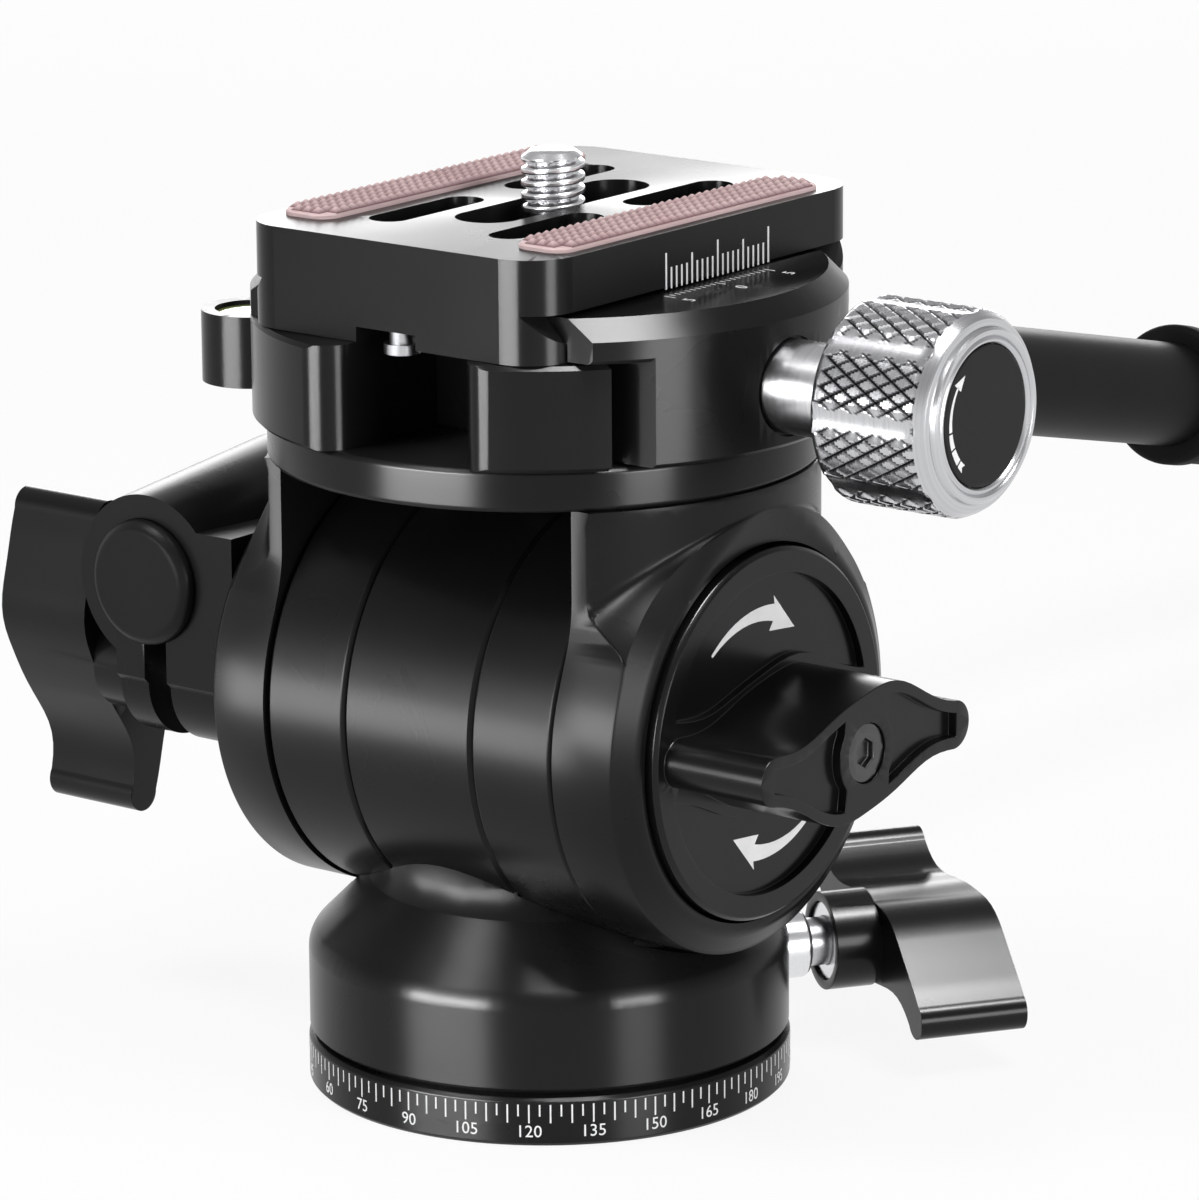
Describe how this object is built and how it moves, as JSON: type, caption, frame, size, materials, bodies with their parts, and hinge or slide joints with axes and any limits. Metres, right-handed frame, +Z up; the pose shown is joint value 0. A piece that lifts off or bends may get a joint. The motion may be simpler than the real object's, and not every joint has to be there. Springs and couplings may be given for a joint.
{
  "type": "fluid video head",
  "caption": "Tripod video head with a panning base, a damped tilt drum in a yoke, a dovetail quick release clamp with a camera plate, wing locks and a bent pan handle.",
  "frame": {"origin": "centre of the tripod socket's mouth on the base's underside, on the pan axis", "axes": "+Z up the pan axis, +X along the tilt axis towards the tilt lock, +Y back along the pan handle"},
  "size_m": [0.1125, 0.2992, 0.095],
  "materials": {
    "black_anodised": "satin black anodised",
    "gloss_black": "semi-gloss black",
    "bright_aluminium": "bright turned",
    "steel": "turned",
    "polished_steel": "polished",
    "brass": "turned",
    "pink_rubber": "matt, pyramid texture",
    "black_rubber": "matt",
    "black_plastic": "semi-gloss",
    "slip_plastic": "matt",
    "vial": "clear, filled with tinted fluid"
  },
  "bodies": {
    "base": {"base_disc": "black_anodised", "pan_hub": "steel", "base_screws": "steel", "pan_thrust_washer": "slip_plastic", "pan_slip_washer": "slip_plastic", "pan_top_washer": "slip_plastic"},
    "pan": {"pan_body": "black_anodised", "pan_retaining_ring": "brass", "ring_screws": "steel", "drum_cap_left": "black_anodised", "drum_cap_right": "black_anodised", "cap_screws": "steel", "cap_seals": "black_rubber", "shaft_bushes": "brass", "shaft_seals": "black_rubber", "stator_plates": "steel", "pan_lock_collar": "bright_aluminium", "pan_lock_pad": "brass"},
    "yoke": {"tilt_shaft": "steel", "rotor_plates": "steel", "tilt_washers": "slip_plastic", "cheek_left": "black_anodised", "cheek_right": "black_anodised", "top_disc": "black_anodised", "cheek_screws": "steel", "tilt_lock_washer": "slip_plastic", "handle_bracket": "black_anodised", "bracket_screws": "steel", "clamp_body": "black_anodised", "clamp_screws": "steel", "level_vial": "vial", "jaw_pins": "steel"},
    "tilt_lock": {"tilt_lock_knob": "gloss_black", "tilt_lock_insert": "brass", "tilt_lock_screw": "steel"},
    "pan_lock": {"pan_lock_wing": "gloss_black", "pan_lock_stud": "steel", "pan_lock_nut": "bright_aluminium"},
    "handle_lock": {"handle_lock_wing": "gloss_black", "handle_lock_stud": "steel"},
    "jaw": {"clamp_jaw": "black_anodised"},
    "knob": {"clamp_knob": "bright_aluminium", "clamp_knob_sleeve": "bright_aluminium", "clamp_knob_disc": "black_anodised", "clamp_stud": "steel"},
    "plate": {"qr_plate": "black_anodised", "rubber_strip_left": "pink_rubber", "rubber_strip_right": "pink_rubber", "stop_screws": "steel"},
    "screw": {"camera_screw": "polished_steel"},
    "handle": {"handle_tube": "black_anodised", "handle_bend": "black_anodised", "handle_rear": "black_anodised", "handle_cap": "black_plastic", "handle_grip": "black_rubber", "grip_end_cap": "black_plastic"}
  },
  "joints": [
    {"name": "pan", "type": "hinge", "parent": "base", "child": "pan", "pos_m": [0, 0, 0], "axis": [0, 0, 1], "continuous": true},
    {"name": "tilt", "type": "hinge", "parent": "pan", "child": "yoke", "pos_m": [0, 0, 0.04], "axis": [1, 0, 0], "range_deg": [-55, 90]},
    {"name": "pan_lock_turn", "type": "hinge", "parent": "pan", "child": "pan_lock", "pos_m": [0, 0, 0.0106], "axis": [0.5592, 0.829, 0], "range_deg": [0, 270]},
    {"name": "tilt_lock_turn", "type": "hinge", "parent": "yoke", "child": "tilt_lock", "pos_m": [0.028, 0, 0.04], "axis": [1, 0, 0], "range_deg": [0, 270]},
    {"name": "handle_lock_turn", "type": "hinge", "parent": "yoke", "child": "handle_lock", "pos_m": [-0.0425, -0.0101, 0.0382], "axis": [-1, 0, 0], "range_deg": [0, 270]},
    {"name": "handle_roll", "type": "hinge", "parent": "yoke", "child": "handle", "pos_m": [-0.038, 0, 0.0492], "axis": [0, 1, 0], "continuous": true},
    {"name": "jaw_slide", "type": "slide", "parent": "yoke", "child": "jaw", "axis": [1, 0, 0], "range_m": [0, 0.003]},
    {"name": "knob_turn", "type": "hinge", "parent": "jaw", "child": "knob", "pos_m": [0.03, 0, 0.0753], "axis": [1, 0, 0], "range_deg": [0, 1080]},
    {"name": "plate_slide", "type": "slide", "parent": "yoke", "child": "plate", "axis": [0, 1, 0], "range_m": [-0.008, 0.008]},
    {"name": "camera_screw_turn", "type": "hinge", "parent": "plate", "child": "screw", "pos_m": [0, 0.00175, 0.09], "axis": [0, 0, 1], "continuous": true}
  ],
  "couplings": [
    {"joint": "knob_turn", "follows": "jaw_slide", "rad_per_m": 6283.2}
  ]
}
